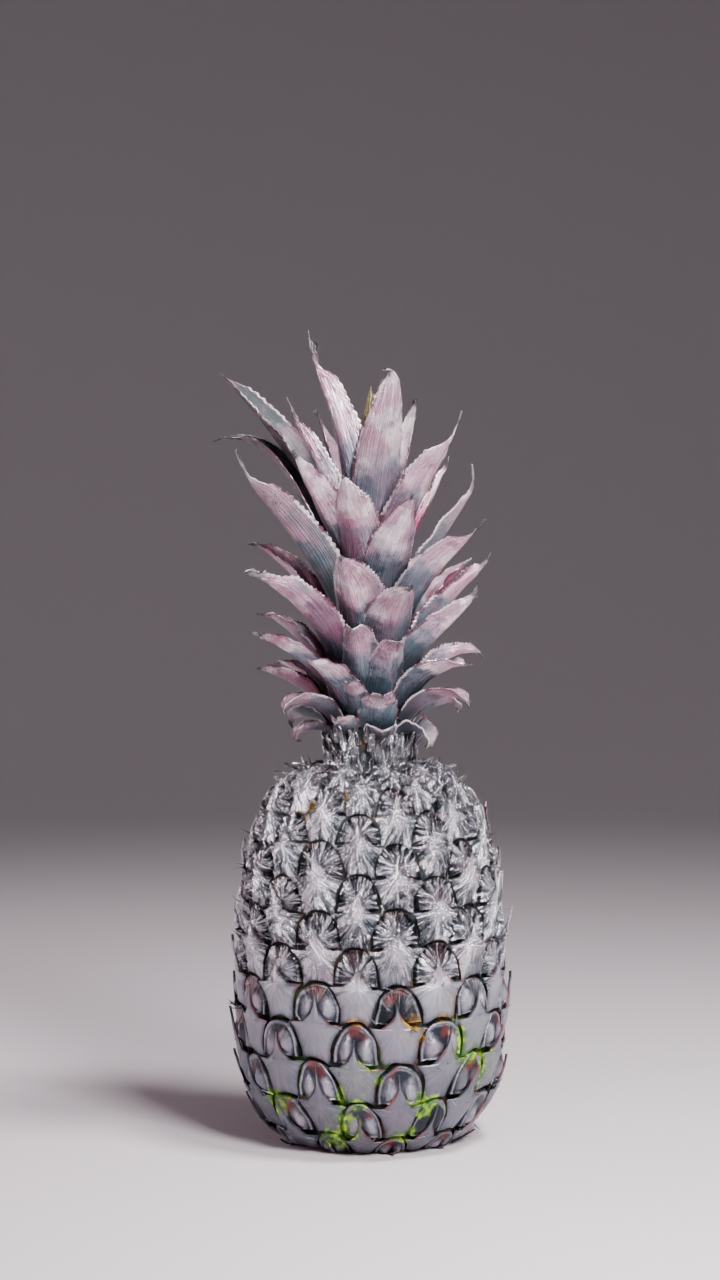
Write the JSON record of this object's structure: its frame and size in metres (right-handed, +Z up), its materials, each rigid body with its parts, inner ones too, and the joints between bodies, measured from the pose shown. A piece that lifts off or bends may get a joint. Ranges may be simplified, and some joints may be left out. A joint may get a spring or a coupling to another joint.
{
  "type": "ornamental pineapple",
  "caption": "Whole pineapple sprayed silver: a barrel-shaped fruit with a net of raised eyes, standing on its flat base under a tall leafy crown.",
  "frame": {"origin": "middle of the cut stalk's face, in the plane of the fruit's flat base, on the surface that it stands on", "axes": "+Z up the fruit's axis, out through the crown; -Y towards the side that faces the viewer; +X to the viewer's right"},
  "size_m": [0.1313, 0.1214, 0.3517],
  "materials": {
    "rind": "silver spray paint, crinkled and metallic, over dark grooves, worn through to green and brown in places",
    "neck": "silver spray paint over dry, crumpled scale stubs",
    "leaf": "satin lilac-silver spray paint over lengthwise fibres",
    "stalk": "bare dry cut fibre"
  },
  "bodies": {
    "root": {"fruit": "rind", "cut_stalk": "stalk", "crown_stem": "neck", "crown_leaf_01": "leaf", "crown_leaf_02": "leaf", "crown_leaf_03": "leaf", "crown_leaf_04": "leaf", "crown_leaf_05": "leaf", "crown_leaf_06": "leaf", "crown_leaf_07": "leaf", "crown_leaf_08": "leaf", "crown_leaf_09": "leaf", "crown_leaf_10": "leaf", "crown_leaf_11": "leaf", "crown_leaf_12": "leaf", "crown_leaf_13": "leaf", "crown_leaf_14": "leaf", "crown_leaf_15": "leaf", "crown_leaf_16": "leaf", "crown_leaf_17": "leaf", "crown_leaf_18": "leaf", "crown_leaf_19": "leaf", "crown_leaf_20": "leaf", "crown_leaf_21": "leaf", "crown_leaf_22": "leaf", "crown_leaf_23": "leaf", "crown_leaf_24": "leaf", "crown_leaf_25": "leaf", "crown_leaf_26": "leaf", "crown_leaf_27": "leaf", "crown_leaf_28": "leaf", "crown_leaf_29": "leaf", "crown_leaf_30": "leaf", "crown_leaf_31": "leaf", "crown_leaf_32": "leaf", "crown_leaf_33": "leaf", "crown_leaf_34": "leaf", "crown_leaf_35": "leaf", "crown_leaf_36": "leaf", "crown_leaf_37": "leaf", "crown_leaf_38": "leaf", "crown_leaf_39": "leaf", "crown_leaf_40": "leaf", "crown_leaf_41": "leaf", "crown_leaf_42": "leaf", "crown_leaf_43": "leaf", "crown_leaf_44": "leaf", "crown_leaf_45": "leaf", "crown_leaf_46": "leaf", "crown_leaf_47": "leaf", "crown_leaf_48": "leaf", "crown_leaf_49": "leaf", "crown_leaf_50": "leaf", "crown_leaf_51": "leaf", "crown_leaf_52": "leaf", "crown_leaf_53": "leaf", "crown_leaf_54": "leaf", "crown_leaf_55": "leaf", "crown_leaf_56": "leaf", "crown_leaf_57": "leaf"}
  },
  "joints": []
}
